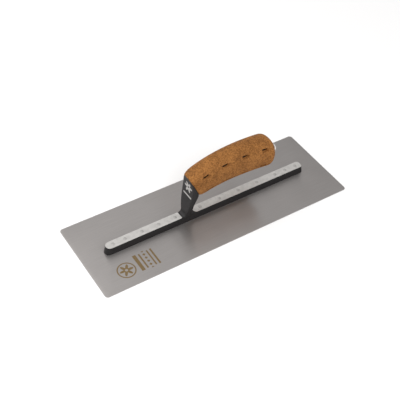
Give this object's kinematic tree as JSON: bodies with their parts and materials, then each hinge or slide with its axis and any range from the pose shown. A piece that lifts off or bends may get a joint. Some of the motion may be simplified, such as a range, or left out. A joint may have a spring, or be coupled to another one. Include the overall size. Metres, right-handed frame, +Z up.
{
  "type": "steel finishing trowel",
  "caption": "Hand trowel with a long rectangular steel blade riveted under a cast mounting, a curved shank and a moulded cork grip.",
  "frame": {"origin": "centre of the blade's underside, which is the working face", "axes": "+X towards the heel, where the grip ends, +Y across the blade, +Z up from the blade towards the grip"},
  "size_m": [0.356, 0.121, 0.0913],
  "materials": {
    "blade_steel": "cross ground, satin",
    "black_casting": "black coat, semi-matt, with a milled bright top",
    "rivet_steel": "milled flush",
    "zinc_steel": "zinc plated",
    "core_plastic": "moulded, matt",
    "cork": "moulded cork composite, fine granules",
    "nickel": "bright plated"
  },
  "bodies": {
    "root": {"blade": "blade_steel", "mounting": "black_casting", "front_rivets": "rivet_steel", "rear_rivets": "rivet_steel", "handle_rod": "zinc_steel", "handle_core": "core_plastic", "cork_grip": "cork", "rear_washer": "zinc_steel", "cap_nut": "nickel"}
  },
  "joints": []
}
